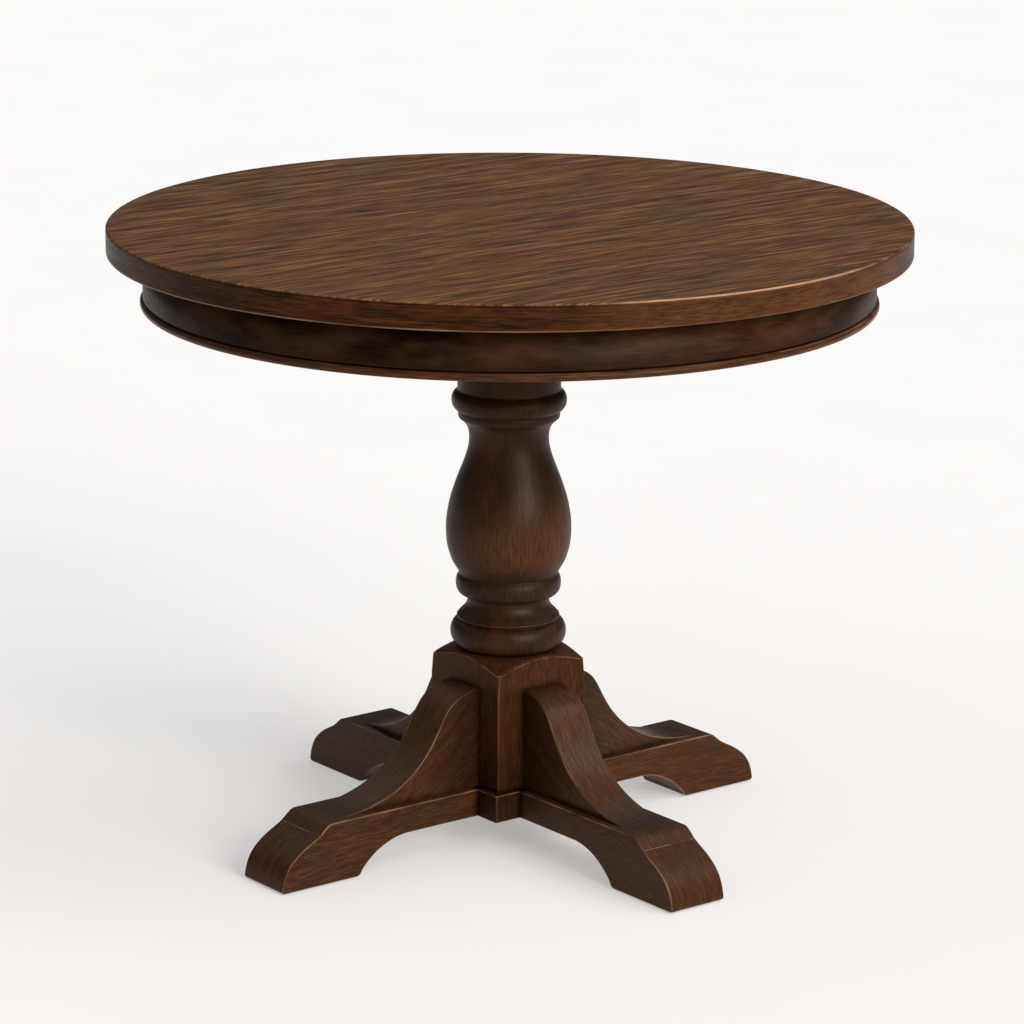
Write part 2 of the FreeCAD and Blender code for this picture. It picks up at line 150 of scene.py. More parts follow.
def bend_of(profile, closed, reach=2.2):
    """Signed turning of a profile within +-reach: positive where it bulges outwards (to its right)."""
    p = np.array(profile, float)
    n = len(p)
    d = np.linalg.norm(np.diff(np.vstack([p, p[:1]]) if closed else p, axis=0), axis=1)
    t = np.concatenate([[0], np.cumsum(d)])
    total = t[-1] if closed else None
    tt = t[:n]
    if closed:
        xs = np.concatenate([tt - total, tt, tt + total])
        pp = np.vstack([p, p, p])
    else:
        xs, pp = tt, p
    def at(s):
        return np.stack([np.interp(s, xs, pp[:, 0]), np.interp(s, xs, pp[:, 1])], 1)
    a, b = at(tt - reach), at(tt + reach)
    u, v = p - a, b - p
    cross = u[:, 0] * v[:, 1] - u[:, 1] * v[:, 0]
    return np.arctan2(cross, (u * v).sum(1))


# ------------------------------------------------------------------ mesh building
def build(name, verts, faces, corner_grain, edge, cavity, flat=None):
    """verts in mm; faces a list of index tuples; corner_grain (sum of corners, 3) in mm."""
    me = bpy.data.meshes.new(name)
    v = np.asarray(verts, float) * MM
    me.from_pydata([tuple(q) for q in v], [], faces)
    me.validate(verbose=False)
    g = me.attributes.new("grain", "FLOAT_VECTOR", "CORNER")
    g.data.foreach_set("vector", (np.asarray(corner_grain, np.float32) * MM).ravel())
    for key, val in (("edge", edge), ("cavity", cavity)):
        at = me.attributes.new(key, "FLOAT", "POINT")
        at.data.foreach_set("value", np.asarray(val, np.float32))
    smooth = np.ones(len(me.polygons), bool)
    if flat is not None:
        smooth[list(flat)] = False
    me.polygons.foreach_set("use_smooth", smooth)
    me.update()
    o = bpy.data.objects.new(name, me)
    scene.collection.objects.link(o)
    return o


def lathe(name, profile, grain, nseg=192, closed=False, seam=0.0, off=(0, 0, 0), wear_and_highlight=1.0, cav=1.0):
    """Turned piece.  profile runs so that the outside is on its right (upwards on the outer wall).
    grain: 'z' solid wood along the axis, 'round' along the rim, 'y' straight along Y."""
    prof = [tuple(map(float, q)) for q in profile]
    m = len(prof)
    bend = -bend_of(prof, closed)
    # arrises get lighter (partly wear, partly painted highlight), concave creases darker (partly glaze, partly painted
    # shade)
    ring_edge = np.clip((-bend - 0.45) / 0.9, 0, 1) * wear_and_highlight
    ring_cav = np.clip((bend - 0.20) / 0.8, 0, 1) * cav
    verts, index, edge, cavity = [], [], [], []
    th = seam + np.arange(nseg) * 2 * math.pi / nseg
    for j, (r, z) in enumerate(prof):
        if r < 1e-6:
            index.append([len(verts)] * nseg)
            verts.append((0, 0, z))
            edge.append(0)
            cavity.append(0)
        else:
            index.append(list(range(len(verts), len(verts) + nseg)))
            verts += [(r * math.cos(a), r * math.sin(a), z) for a in th]
            edge += [ring_edge[j]] * nseg
            cavity += [ring_cav[j]] * nseg
    faces, cg = [], []
    s_at = np.concatenate([[0], np.cumsum(np.linalg.norm(np.diff(np.array(prof), axis=0), axis=1))])
    r_mean = max(q[0] for q in prof)

    def g_of(j, i, vi):
        x, y, z = verts[vi]
        if grain == "z":
            a = seam + i * 2 * math.pi / nseg
            return (s_at[j] + off[0], 62.0 * math.cos(a) + off[1], 62.0 * math.sin(a) + off[2])
        if grain == "round":
            return (i * 2 * math.pi / nseg * r_mean + off[0], z + off[1], prof[j][0] + off[2])
        return (y + off[0], x + off[1], z + off[2])

    spans = range(m if closed else m - 1)
    for j in spans:
        j2 = (j + 1) % m
        for i in range(nseg):
            i2 = (i + 1) % nseg
            a, b, c, d = index[j][i], index[j][i2], index[j2][i2], index[j2][i]
            corners = [(j, i, a), (j, i + 1, b), (j2, i + 1, c), (j2, i, d)]
            if a == b:
                corners = [corners[0], corners[2], corners[3]]
            elif c == d:
                corners = [corners[0], corners[1], corners[2]]
            faces.append(tuple(q[2] for q in corners))
            cg += [g_of(*q) for q in corners]
    return build(name, verts, faces, cg, edge, cavity)


def extruded(name, outline, half_w, k, bevel=1.8, nb=5, slant=0.0, off=(0, 0, 0), hidden=None, across=4):
    """Side outline (r, z), counter-clockwise, extruded to +-half_w with rounded long edges, foot number k."""
    p = np.array(outline, float)
    n = len(p)
    area = 0.5 * np.sum(p[:, 0] * np.roll(p[:, 1], -1) - np.roll(p[:, 0], -1) * p[:, 1])
    if area < 0:
        p = p[::-1]
    t = np.roll(p, -1, axis=0) - np.roll(p, 1, axis=0)
    t /= np.linalg.norm(t, axis=1)[:, None]
    normal = np.stack([t[:, 1], -t[:, 0]], 1)          # outwards
    rings = []                                         # (inset, y, edge)
    sup = 0.9
    rings.append((bevel + sup, half_w, 0.0))
    for j in range(nb + 1):
        f = j / nb * math.pi / 2
        rings.append((bevel * (1 - math.sin(f)), half_w - bevel * (1 - math.cos(f)), math.sin(2 * f)))
    rings.append((0.0, half_w - bevel - sup, 0.0))
    inner = list(np.linspace(half_w - bevel - sup, -(half_w - bevel - sup), across + 1))[1:-1]
    half = list(rings)
    rings += [(0.0, y, 0.0) for y in inner]
    rings += [(a, -y, e) for a, y, e in reversed(half)]
    bend = bend_of(p, True)
    # arrises get lighter (partly wear, partly painted highlight), concave creases darker (partly glaze, partly painted
    # shade)
    curve_edge = np.clip((bend - 0.5) / 0.9, 0, 1) * 0.8
    curve_cav = np.clip((-bend - 0.15) / 0.6, 0, 1)
    local, edge, cavity = [], [], []
    for a, y, e in rings:
        q = p - normal * a
        local += [(q[i, 0], y, q[i, 1]) for i in range(n)]
        flat_side = a > bevel + 0.1
        edge += [0.0 if flat_side else max(e, curve_edge[i]) for i in range(n)]
        cavity += [0.0 if flat_side else curve_cav[i] * 0.8 for i in range(n)]
    local = np.array(local)
    c, s = math.cos(slant), math.sin(slant)
    gr = np.stack([local[:, 0] * c + local[:, 2] * s + off[0] + 771 * k, local[:, 1] + off[1] + 137 * k,
                   -local[:, 0] * s + local[:, 2] * c + off[2] + 59 * k], 1)
    ang = math.radians(90 * k)
    ca, sa = math.cos(ang), math.sin(ang)
    verts = np.stack([local[:, 0] * ca - local[:, 1] * sa, local[:, 0] * sa + local[:, 1] * ca, local[:, 2]], 1)
    faces = []
    for j in range(len(rings) - 1):
        for i in range(n):
            i2 = (i + 1) % n
            faces.append((j * n + i, j * n + i2, (j + 1) * n + i2, (j + 1) * n + i))
    faces.append(tuple(range(n - 1, -1, -1)))
    last = (len(rings) - 1) * n
    faces.append(tuple(range(last, last + n)))
    flip = [tuple(reversed(f)) for f in faces]
    # the sawn edge face carries its figure along the curve, the two sides carry it along the board
    run = np.concatenate([[0], np.cumsum(np.linalg.norm(np.diff(np.vstack([p, p[:1]]), axis=0), axis=1))])
    chunks = []
    for f_id, f in enumerate(flip):
        ring = f_id // n
        if f_id >= len(flip) - 2 or ring == 0 or ring == len(rings) - 2:
            chunks.append(gr[list(f)])
            continue
        i = f_id % n
        far = {ring * n + i: run[i], (ring + 1) * n + i: run[i], ring * n + (i + 1) % n: run[i + 1],
               (ring + 1) * n + (i + 1) % n: run[i + 1]}
        chunks.append(np.array([(far[v] + off[0] + 771 * k, local[v, 1] + off[1] + 137 * k, 500.0 + 59 * k)
                                for v in f]))
    cg = np.concatenate(chunks)
    return build(name, verts, flip, cg, edge, cavity, flat=[len(flip) - 2, len(flip) - 1])


def loft_z(name, rings, edges, grain_off, cavs=None):
    """Stacked rings of equal length, bottom to top, counter-clockwise from above; closed with end faces."""
    n = len(rings[0])
    verts = np.concatenate([np.asarray(r, float) for r in rings])
    edge = np.concatenate([np.asarray(e, float) * np.ones(n) for e in edges])
    cavity = np.zeros(len(verts)) if cavs is None else np.concatenate([np.asarray(e, float) * np.ones(n) for e in cavs])
    faces = []
    for j in range(len(rings) - 1):
        for i in range(n):
            i2 = (i + 1) % n
            faces.append((j * n + i, j * n + i2, (j + 1) * n + i2, (j + 1) * n + i))
    faces.append(tuple(range(n - 1, -1, -1)))
    last = (len(rings) - 1) * n
    faces.append(tuple(range(last, last + n)))
    gr = np.stack([verts[:, 2] + grain_off[0], verts[:, 0] + grain_off[1], verts[:, 1] + grain_off[2]], 1)
    cg = np.concatenate([gr[list(f)] for f in faces])
    return build(name, verts, faces, cg, edge, cavity, flat=[len(faces) - 2, len(faces) - 1])


# ------------------------------------------------------------------ shader helpers
class Tree:
    def __init__(self, name):
        self.mat = bpy.data.materials.new(name)
        self.mat.use_nodes = True
        self.nt = self.mat.node_tree
        self.nt.nodes.clear()
        self.out = self.node("ShaderNodeOutputMaterial")
        self.bsdf = self.node("ShaderNodeBsdfPrincipled")
        self.link(self.bsdf.outputs["BSDF"], self.out.inputs["Surface"])

    def node(self, kind, **props):
        nd = self.nt.nodes.new(kind)
        for k, v in props.items():
            setattr(nd, k, v)
        return nd

    def link(self, a, b):
        self.nt.links.new(a, b)

    def put(self, socket, value):
        if isinstance(value, bpy.types.NodeSocket):
            self.link(value, socket)
        elif value is not None:
            socket.default_value = value

    def vmath(self, op, a, b=None):
        nd = self.node("ShaderNodeVectorMath", operation=op)
        self.put(nd.inputs[0], a)
        if b is not None:
            self.put(nd.inputs[1], b)
        return nd.outputs[0]

    def math(self, op, a, b=None, c=None, clamp=False):
        nd = self.node("ShaderNodeMath", operation=op, use_clamp=clamp)
        self.put(nd.inputs[0], a)
        if b is not None:
            self.put(nd.inputs[1], b)
        if c is not None:
            self.put(nd.inputs[2], c)
        return nd.outputs[0]

    def noise(self, vec, scale=1.0, detail=4.0, rough=0.55, dist=0.0, out="Fac"):
        nd = self.node("ShaderNodeTexNoise", noise_dimensions="3D")
        self.link(vec, nd.inputs["Vector"])
        nd.inputs["Scale"].default_value = scale
        nd.inputs["Detail"].default_value = detail
        nd.inputs["Roughness"].default_value = rough
        nd.inputs["Distortion"].default_value = dist
        return nd.outputs[out]

    def remap(self, v, a, b, c=0.0, d=1.0, smooth=False):
        nd = self.node("ShaderNodeMapRange")
        if smooth:
            nd.interpolation_type = "SMOOTHSTEP"
        self.put(nd.inputs["Value"], v)
        nd.inputs["From Min"].default_value = a
        nd.inputs["From Max"].default_value = b
        nd.inputs["To Min"].default_value = c
        nd.inputs["To Max"].default_value = d
        return nd.outputs["Result"]

    def ramp(self, v, stops):
        nd = self.node("ShaderNodeValToRGB")
        self.link(v, nd.inputs["Fac"])
        el = nd.color_ramp.elements
        while len(el) > 1:
            el.remove(el[-1])
        el[0].position, el[0].color = stops[0][0], (*stops[0][1], 1)
        for pos, col in stops[1:]:
            e = el.new(pos)
            e.color = (*col, 1)
        return nd.outputs["Color"]

    def mix(self, fac, a, b, mode="MIX"):
        nd = self.node("ShaderNodeMix", data_type="RGBA", blend_type=mode)
        nd.clamp_factor = True
        self.put(nd.inputs["Factor"], fac)
        for s, v in ((nd.inputs["A"], a), (nd.inputs["B"], b)) if False else ((nd.inputs[6], a), (nd.inputs[7], b)):
            if isinstance(v, tuple):
                v = (*v, 1)
            self.put(s, v)
        return nd.outputs[2]


def lin(r, g, b):
    """sRGB 0-255 to linear."""
    return tuple(c / 255 / 12.92 if c / 255 <= 0.04045 else ((c / 255 + 0.055) / 1.055) ** 2.4 for c in (r, g, b))


def wood(name, dark, mid, light, glow, band=(5.0, 42.0), fine=(9.0, 260.0), pore=(38.0, 900.0), band_amt=1.0,
         fine_amt=0.55, pore_amt=0.45, glow_amt=0.5, rough=0.42, rough_var=0.10, coat=0.0, coat_rough=0.28,
         bump=0.12, warp=0.010, edge_col=lin(122, 86, 60), edge_amt=0.55, cav_amt=0.75, contrast=(0.32, 0.68),
         coords="attr", turn=(0, 0, 0), glow_scale=(2.2, 7.0), spec=0.16, streak=None,
         tint=(1.0, 0.80, 0.62), painted_shade_zones=None, painted_shade_zones_amt=0.8, painted_warm_light=None, wear_and_highlight_breakup_lo=0.10):
    """The painted shade zones: a list of (weight, [(kind, from, to) in mm]), darkest at from, none at to."""
    t = Tree(name)
    if coords == "attr":
        at = t.node("ShaderNodeAttribute", attribute_type="GEOMETRY", attribute_name="grain")
        p = at.outputs["Vector"]
    else:
        tc = t.node("ShaderNodeTexCoord")
        mp = t.node("ShaderNodeMapping")
        t.link(tc.outputs["Object"], mp.inputs["Vector"])
        mp.inputs["Rotation"].default_value = turn
        p = mp.outputs["Vector"]
    w = t.noise(t.vmath("MULTIPLY", p, (1.6, 7.0, 7.0)), detail=2.0, out="Color")
    w = t.vmath("MULTIPLY", t.vmath("SUBTRACT", w, (0.5, 0.5, 0.5)), (0.0, warp, warp))
    q = t.vmath("ADD", p, w)
    bands = t.noise(t.vmath("MULTIPLY", q, (band[0], band[1], band[1])), detail=5.0, rough=0.62)
    bands = t.remap(bands, contrast[0], contrast[1])
    fines = t.noise(t.vmath("MULTIPLY", q, (fine[0], fine[1], fine[1])), detail=4.0, rough=0.6)
    fines = t.remap(fines, 0.33, 0.67)
    pores = t.noise(t.vmath("MULTIPLY", q, (pore[0], pore[1], pore[1])), detail=1.0, rough=0.5)
    pores = t.remap(pores, 0.60, 0.70, smooth=True)
    glows = t.noise(t.vmath("MULTIPLY", p, (glow_scale[0], glow_scale[1], glow_scale[1])), detail=3.0, rough=0.5)
    glows = t.remap(glows, 0.44, 0.72, smooth=True)
    v = t.math("MULTIPLY_ADD", t.math("SUBTRACT", bands, 0.5), band_amt, 0.5)
    v = t.math("MULTIPLY_ADD", t.math("SUBTRACT", fines, 0.5), fine_amt, v, clamp=True)
    col = t.ramp(v, [(0.0, dark), (0.5, mid), (1.0, light)])
    col = t.mix(t.math("MULTIPLY", glows, glow_amt), col, glow, "MIX")
    # painted light: a warmer, lighter colour painted on the side of the piece that faces the way direction, within a
    # height band, as if lit from there
    if painted_warm_light:
        place = t.node("ShaderNodeSeparateXYZ")
        t.link(t.node("ShaderNodeTexCoord").outputs["Object"], place.inputs[0])
        side = t.math("ADD", t.math("MULTIPLY", place.outputs["X"], painted_warm_light["way"][0] / 0.075),
                      t.math("MULTIPLY", place.outputs["Y"], painted_warm_light["way"][1] / 0.075))
        m = t.remap(side, painted_warm_light.get("lo", -0.1), 0.95, 0.0, 1.0, smooth=True)
        z0, z1, z2 = painted_warm_light["z"]
        m = t.math("MULTIPLY", m, t.remap(place.outputs["Z"], z0, z1, 0.0, 1.0, smooth=True))
        m = t.math("MULTIPLY", m, t.remap(place.outputs["Z"], z1, z2, 1.0, 0.0, smooth=True))
        fleck = t.noise(t.vmath("MULTIPLY", q, (55.0, 420.0, 420.0)), detail=3.0, rough=0.6)
        m = t.math("MULTIPLY", m, t.remap(fleck, 0.36, 0.64, 0.25, 1.0))
        col = t.mix(t.math("MULTIPLY", m, painted_warm_light["amt"], clamp=True), col, painted_warm_light["col"])
    if streak:
        st = t.noise(t.vmath("MULTIPLY", q, streak["scale"]), detail=3.0, rough=0.7)
        st = t.remap(st, streak["lo"], streak["hi"], smooth=True)
        col = t.mix(t.math("MULTIPLY", st, streak["amt"]), col, streak["col"])
    dark_pore = t.mix(1.0, col, (0.42, 0.36, 0.33), "MULTIPLY")
    col = t.mix(t.math("MULTIPLY", pores, pore_amt), col, dark_pore)
    height = t.math("ADD", t.math("MULTIPLY", fines, 0.6), t.math("MULTIPLY", pores, -0.9))
    rr = t.math("MULTIPLY_ADD", t.math("SUBTRACT", bands, 0.5), rough_var, rough)
    rr = t.math("MULTIPLY_ADD", pores, 0.10, rr)
    if coords == "attr":
        ed = t.node("ShaderNodeAttribute", attribute_type="GEOMETRY", attribute_name="edge").outputs["Fac"]
        cv = t.node("ShaderNodeAttribute", attribute_type="GEOMETRY", attribute_name="cavity").outputs["Fac"]
        wear_and_highlight_breakup = t.noise(t.vmath("MULTIPLY", p, (14.0, 40.0, 40.0)), detail=3.0)
        wear_and_highlight_breakup = t.remap(wear_and_highlight_breakup, 0.38, 0.62, wear_and_highlight_breakup_lo, 1.0)
        # lighter colour along arrises (edge attribute), broken up by noise: partly wear, partly painted highlight
        col = t.mix(t.math("MULTIPLY", t.math("MULTIPLY", ed, wear_and_highlight_breakup), edge_amt, clamp=True), col, edge_col)
        # darker in concave creases (cavity attribute): partly glaze gathered in the hollows, partly painted shade
        deep = t.mix(1.0, col, (0.22, 0.18, 0.16), "MULTIPLY")
        col = t.mix(t.math("MULTIPLY", cv, cav_amt, clamp=True), col, deep)
        rr = t.math("MULTIPLY_ADD", ed, -0.12, rr)
    # painted shade: darker colour in the listed zones, where shade falls beside other parts, broken up by noise
    if painted_shade_zones:
        oc = t.node("ShaderNodeTexCoord").outputs["Object"]
        sp = t.node("ShaderNodeSeparateXYZ")
        t.link(oc, sp.inputs[0])
        ax, ay = t.math("ABSOLUTE", sp.outputs["X"]), t.math("ABSOLUTE", sp.outputs["Y"])
        place = {"far": t.math("MAXIMUM", ax, ay), "side": t.math("MINIMUM", ax, ay), "z": sp.outputs["Z"]}
        shade_breakup = t.noise(t.vmath("MULTIPLY", oc, (60.0, 60.0, 60.0)), detail=3.0)
        shade_breakup = t.remap(shade_breakup, 0.3, 0.7, 0.75, 1.0)
        shade = None
        for weight, terms in painted_shade_zones:
            one = t.math("MULTIPLY", shade_breakup, weight)
            for kind, a, b2 in terms:
                g = t.remap(place[kind], min(a, b2) / 1000.0, max(a, b2) / 1000.0, 1.0 if a < b2 else 0.0,
                            0.0 if a < b2 else 1.0, smooth=True)
                one = t.math("MULTIPLY", one, g)
            shade = one if shade is None else t.math("MAXIMUM", shade, one)
        dark = t.mix(1.0, col, (0.20, 0.16, 0.14), "MULTIPLY")
        col = t.mix(t.math("MULTIPLY", shade, painted_shade_zones_amt, clamp=True), col, dark)
    bp = t.node("ShaderNodeBump")
    bp.inputs["Strength"].default_value = bump
    bp.inputs["Distance"].default_value = 0.0006
    t.link(height, bp.inputs["Height"])
    b = t.bsdf.inputs
    t.link(col, b["Base Color"])
    t.link(rr, b["Roughness"])
    t.link(bp.outputs["Normal"], b["Normal"])
    b["Specular IOR Level"].default_value = spec
    b["Specular Tint"].default_value = (*tint, 1.0)
    b["Coat Weight"].default_value = coat
    b["Coat Roughness"].default_value = coat_rough
    b["Coat IOR"].default_value = 1.5
    return t.mat


def metal(name, base, rough, var=0.12, bump=0.05, scale=420.0, metallic=1.0, spec=0.5):
    t = Tree(name)
    tc = t.node("ShaderNodeTexCoord")
    p = tc.outputs["Object"]
    n1 = t.noise(t.vmath("MULTIPLY", p, (scale, scale, scale)), detail=3.0)
    n2 = t.noise(t.vmath("MULTIPLY", p, (45.0, 45.0, 45.0)), detail=3.0)
    col = t.mix(t.remap(n2, 0.35, 0.65), tuple(c * 0.72 for c in base), tuple(min(1, c * 1.12) for c in base))
    rr = t.math("MULTIPLY_ADD", t.math("SUBTRACT", n1, 0.5), var, rough)
    bp = t.node("ShaderNodeBump")
    bp.inputs["Strength"].default_value = bump
    bp.inputs["Distance"].default_value = 0.0003
    t.link(n1, bp.inputs["Height"])
    t.link(col, t.bsdf.inputs["Base Color"])
    t.link(rr, t.bsdf.inputs["Roughness"])
    t.link(bp.outputs["Normal"], t.bsdf.inputs["Normal"])
    t.bsdf.inputs["Metallic"].default_value = metallic
    t.bsdf.inputs["Specular IOR Level"].default_value = spec
    return t.mat


# ------------------------------------------------------------------ wood finishes
# top veneer: its edge colour is only used for the painted highlight line on the outer arris
M_TOP = wood("top_veneer_wood", lin(50, 31, 17), lin(80, 53, 31), lin(117, 81, 50), lin(90, 56, 30),
             band=(3.5, 46.0), fine=(12.0, 190.0), pore=(24.0, 300.0), band_amt=0.38, fine_amt=1.05, pore_amt=0.80,
             glow_amt=0.30, rough=0.38, warp=0.005, edge_amt=0.85, bump=0.08, spec=0.10, wear_and_highlight_breakup_lo=0.6,
             edge_col=lin(186, 144, 112),
             streak=dict(scale=(8.0, 170.0, 170.0), lo=0.56, hi=0.68, amt=0.72, col=lin(140, 102, 66)))
# rim lipping: the edge colour paints the highlight along the upper arris and the lighter line on the lower arris; the
# warm zone paints a patch of warm light on the front right of the rim
M_LIP = wood("lipping_wood", lin(25, 12, 5), lin(42, 22, 9), lin(70, 39, 17), lin(82, 41, 16),
             band=(9.0, 110.0), fine=(36.0, 520.0), glow_amt=0.45, rough=0.42, warp=0.004, edge_amt=0.88, band_amt=0.45,
             fine_amt=0.90, glow_scale=(10.0, 26.0), spec=0.07, edge_col=lin(166, 124, 94), wear_and_highlight_breakup_lo=0.35,
             painted_warm_light=dict(way=(0.1558, 0.0114), z=(0.700, 0.738, 0.800), amt=0.26, col=lin(130, 84, 50), lo=0.80))
# apron: painted shade, a darker copy of the rim wood for the shade under the overhang, darkest just under the top and
# just above the bead, with a patch of warm light painted towards the front right
M_APRON_SHADED = wood("apron_wood_painted_shade", lin(13, 7, 3), lin(21, 10, 5), lin(36, 18, 8), lin(52, 23, 8),
               band=(9.0, 110.0), fine=(36.0, 520.0), glow_amt=0.34, rough=0.42, warp=0.005, edge_amt=0.65,
               band_amt=0.45, fine_amt=0.95, glow_scale=(9.0, 24.0), spec=0.06,
               painted_shade_zones=[(1.0, [("z", 729.0, 700.0)]), (1.0, [("z", 673.5, 678.0)])], painted_shade_zones_amt=0.70,
               painted_warm_light=dict(way=(0.1556, -0.0135), z=(0.655, 0.700, 0.740), amt=0.26, col=lin(108, 64, 32), lo=0.80))
# bead: painted light, a lighter copy of the rim wood for the light that falls on the bead
M_BEAD_LIT = wood("bead_wood_painted_light", lin(34, 17, 8), lin(58, 33, 17), lin(84, 50, 27), lin(84, 44, 20),
              band=(9.0, 110.0), fine=(36.0, 520.0), glow_amt=0.35, rough=0.36, warp=0.005, edge_amt=0.70,
              band_amt=0.4, fine_amt=0.9, glow_scale=(7.0, 18.0), spec=0.14, edge_col=lin(134, 92, 64))
# turned wood: the warm zone paints warm light on the column's lit side low on the vase; the painted shade zones darken
# it from above the base torus upwards, most at the upper torus and neck under the top
M_TURN = wood("turned_wood", lin(29, 15, 7), lin(45, 25, 12), lin(66, 38, 18), lin(82, 44, 18),
              band=(14.0, 70.0), fine=(60.0, 560.0), glow_amt=0.32, rough=0.45, warp=0.003, edge_amt=0.30,
              band_amt=0.25, fine_amt=0.62, glow_scale=(9.0, 20.0), spec=0.17,
              painted_warm_light=dict(way=(0.960, -0.280), z=(0.326, 0.364, 0.450), amt=0.36, col=lin(124, 76, 30)),
              painted_shade_zones=[(0.75, [("z", 546.0, 514.0)]), (0.55, [("z", 331.0, 350.0), ("z", 326.0, 330.0)]),
                       (0.50, [("z", 302.0, 288.0)]), (0.35, [("z", 273.0, 270.0)])], painted_shade_zones_amt=0.75)
# post: painted shade at its foot, over its lower part, on its top around the column and beside the bracket tops
M_POST = wood("post_wood", lin(32, 16, 7), lin(53, 30, 14), lin(80, 46, 23), lin(84, 46, 20),
              band=(10.0, 90.0), fine=(50.0, 520.0), glow_amt=0.30, rough=0.42, warp=0.003, edge_amt=0.8,
              band_amt=0.32, fine_amt=0.70, spec=0.08,
              painted_shade_zones=[(1.0, [("z", 75.5, 84.0)]), (0.85, [("z", 80.0, 205.0)]), (0.60, [("z", 237.5, 233.0)]),
                       (0.9, [("side", 28.0, 38.0), ("z", 198.0, 206.0)])])
# feet: painted shade on the bars next to the plinth; the edge colour is partly wear, partly the painted highlight at
# the toe kink
M_BASE = wood("foot_wood", lin(32, 17, 7), lin(51, 29, 14), lin(78, 46, 24), lin(78, 43, 20),
              band=(12.0, 90.0), fine=(60.0, 600.0), glow_amt=0.30, rough=0.38, warp=0.004, edge_amt=0.80,
              band_amt=0.28, fine_amt=0.70, spec=0.14, edge_col=lin(140, 102, 76),
              painted_shade_zones=[(1.0, [("far", 76.6, 86.0)])])
# plinth: painted shade, a darker copy of the foot wood for the shade low around the post, darkest where the bars meet
# it
M_PLINTH_SHADED = wood("plinth_wood_painted_shade", lin(22, 11, 5), lin(36, 20, 10), lin(56, 32, 16), lin(56, 31, 14),
                band=(12.0, 90.0), fine=(50.0, 520.0), glow_amt=0.30, rough=0.42, warp=0.004, edge_amt=0.8,
                band_amt=0.35, fine_amt=0.7, spec=0.08, painted_shade_zones=[(1.0, [("side", 39.0, 48.0)])])
# brackets: painted shade next to the bar, next to the post and on their sides near the post
M_BRKT = wood("bracket_wood", lin(34, 18, 8), lin(54, 31, 15), lin(82, 49, 27), lin(80, 46, 22),
              band=(12.0, 90.0), fine=(60.0, 600.0), glow_amt=0.30, rough=0.38, warp=0.004, edge_amt=0.80,
              band_amt=0.28, fine_amt=0.70, spec=0.20, edge_col=lin(134, 96, 70),
              painted_shade_zones=[(1.0, [("z", 75.0, 85.0)]), (1.0, [("far", 66.0, 76.0)]), (0.5, [("far", 70.0, 112.0)]),
                       (0.95, [("far", 74.0, 165.0), ("side", 28.7, 26.8)])])
M_CORE = wood("core_panel", lin(52, 33, 22), lin(84, 57, 40), lin(112, 80, 58), lin(100, 66, 42), coords="object",
              turn=(0, 0, math.radians(90)), band=(2.4, 24.0), glow_amt=0.2, rough=0.6, coat=0.0, bump=0.2)
M_CLEAT_X = wood("cleat_wood_x", lin(70, 45, 29), lin(112, 78, 52), lin(146, 108, 76), lin(130, 86, 52),
                 coords="object", band=(4.0, 50.0), glow_amt=0.2, rough=0.62, coat=0.0, bump=0.25)
M_CLEAT_Y = wood("cleat_wood_y", lin(70, 45, 29), lin(112, 78, 52), lin(146, 108, 76), lin(130, 86, 52),
                 coords="object", turn=(0, 0, math.radians(90)), band=(4.0, 50.0), glow_amt=0.2, rough=0.62,
                 coat=0.0, bump=0.25)
M_DOWEL = wood("dowel_wood", lin(150, 112, 76), lin(186, 148, 108), lin(208, 174, 134), lin(190, 146, 100),
               coords="object", band=(30.0, 300.0), glow_amt=0.2, rough=0.65, coat=0.0, bump=0.2)
M_ZINC = metal("zinc_steel", (0.56, 0.56, 0.53), 0.36)
M_BLACK = metal("black_steel", (0.030, 0.030, 0.032), 0.52, metallic=0.0, bump=0.25, scale=900.0)
M_GLIDE = metal("glide_nylon", (0.035, 0.026, 0.020), 0.55, metallic=0.0, bump=0.15, scale=700.0)


def finish_piece(o, mat, slot, *nodes):
    o.data.materials.clear()
    o.data.materials.append(mat)
    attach(o, "root")
    if nodes:
        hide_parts(*nodes)
    return o


# ------------------------------------------------------------------ top
SEAM = math.radians(52.17 + 90 + 25)
def step01(x, a, b):
    u = min(max((x - a) / (b - a), 0.0), 1.0)
    return u * u * (3.0 - 2.0 * u)


# painted highlight: weight of a bright line painted along arrises over one span of azimuth around the rim; it stays
# there under any light
def painted_highlight_band(v, a=10.0, b=22.0, c=46.0, d=64.0):
    """1 along the front right quarter of the rim, where the photo has a bright line, 0 elsewhere."""
    deg = math.degrees(math.atan2(v.co.x, -v.co.y)) - 52.17
    deg = (deg + 180.0) % 360.0 - 180.0
    return step01(deg, a, b) * (1.0 - step01(deg, c, d))


A = 3.0
top_arc = [(TOP_R - A + A * math.sin(f), H - A + A * math.cos(f)) for f in np.linspace(0, math.pi / 2, 9)]
upper = [q for q in top_arc if q[1] >= H - VENEER - 1e-6]
joint_r = TOP_R - A + math.sqrt(A * A - (A - VENEER) ** 2)
upper.append((joint_r, H - VENEER))
face_prof = [(0, H - VENEER), (200, H - VENEER), (joint_r - 1.0, H - VENEER)] + upper[::-1] + \
    [(TOP_R - A - 1.0, H), (TOP_R - A - 8.0, H)] + [(r, H) for r in (440, 380, 320, 260, 200, 140, 80, 30, 0)]
top_face = lathe("table_top_face", face_prof, "y", nseg=288, wear_and_highlight=0.8, cav=0)
